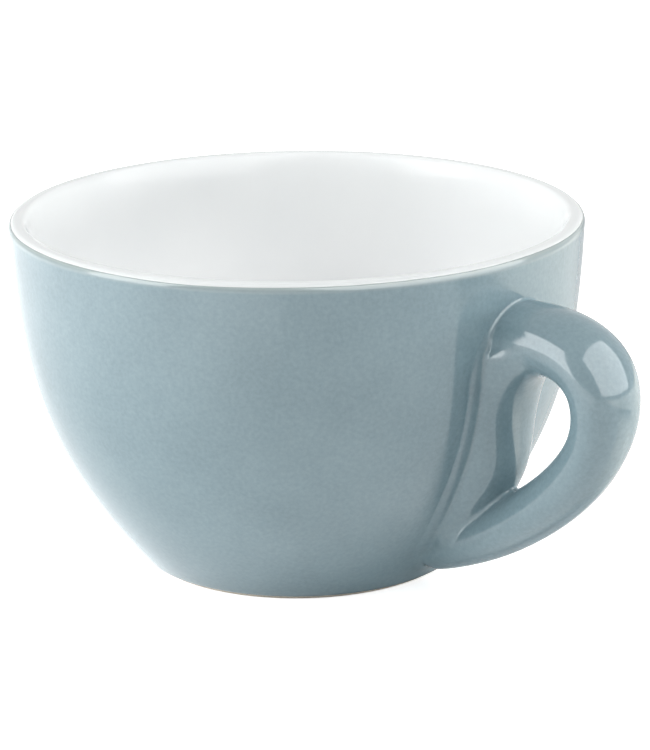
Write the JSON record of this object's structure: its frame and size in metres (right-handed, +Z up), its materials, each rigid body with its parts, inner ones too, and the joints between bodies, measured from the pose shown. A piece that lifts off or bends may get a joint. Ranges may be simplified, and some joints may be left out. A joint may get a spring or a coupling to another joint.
{
  "type": "coffee cup",
  "caption": "Wide glazed ceramic coffee cup on a narrow foot, white inside and grey-blue outside, with a rounded ear handle closed along the wall.",
  "frame": {"origin": "on the surface the cup stands on, under the middle of its whole length, handle included; the bowl's own axis is parallel to Z and lies 10.6 mm towards -X", "axes": "+Z up along the bowl's axis, +X towards the handle, the handle's plane of symmetry at Y = 0"},
  "size_m": [0.1162, 0.095, 0.0584],
  "materials": {
    "fired_clay": "bare fired clay, matt",
    "fired_slip": "bare fired slip, matt",
    "coloured_glaze": "glossy grey-blue glaze with a fine mottle",
    "white_glaze": "glossy white glaze"
  },
  "bodies": {
    "root": {"bowl": "fired_clay", "handle": "fired_clay", "luting_slip": "fired_slip", "outer_glaze": "coloured_glaze", "handle_glaze": "coloured_glaze", "base_glaze": "coloured_glaze", "liner_glaze": "white_glaze"}
  },
  "joints": []
}
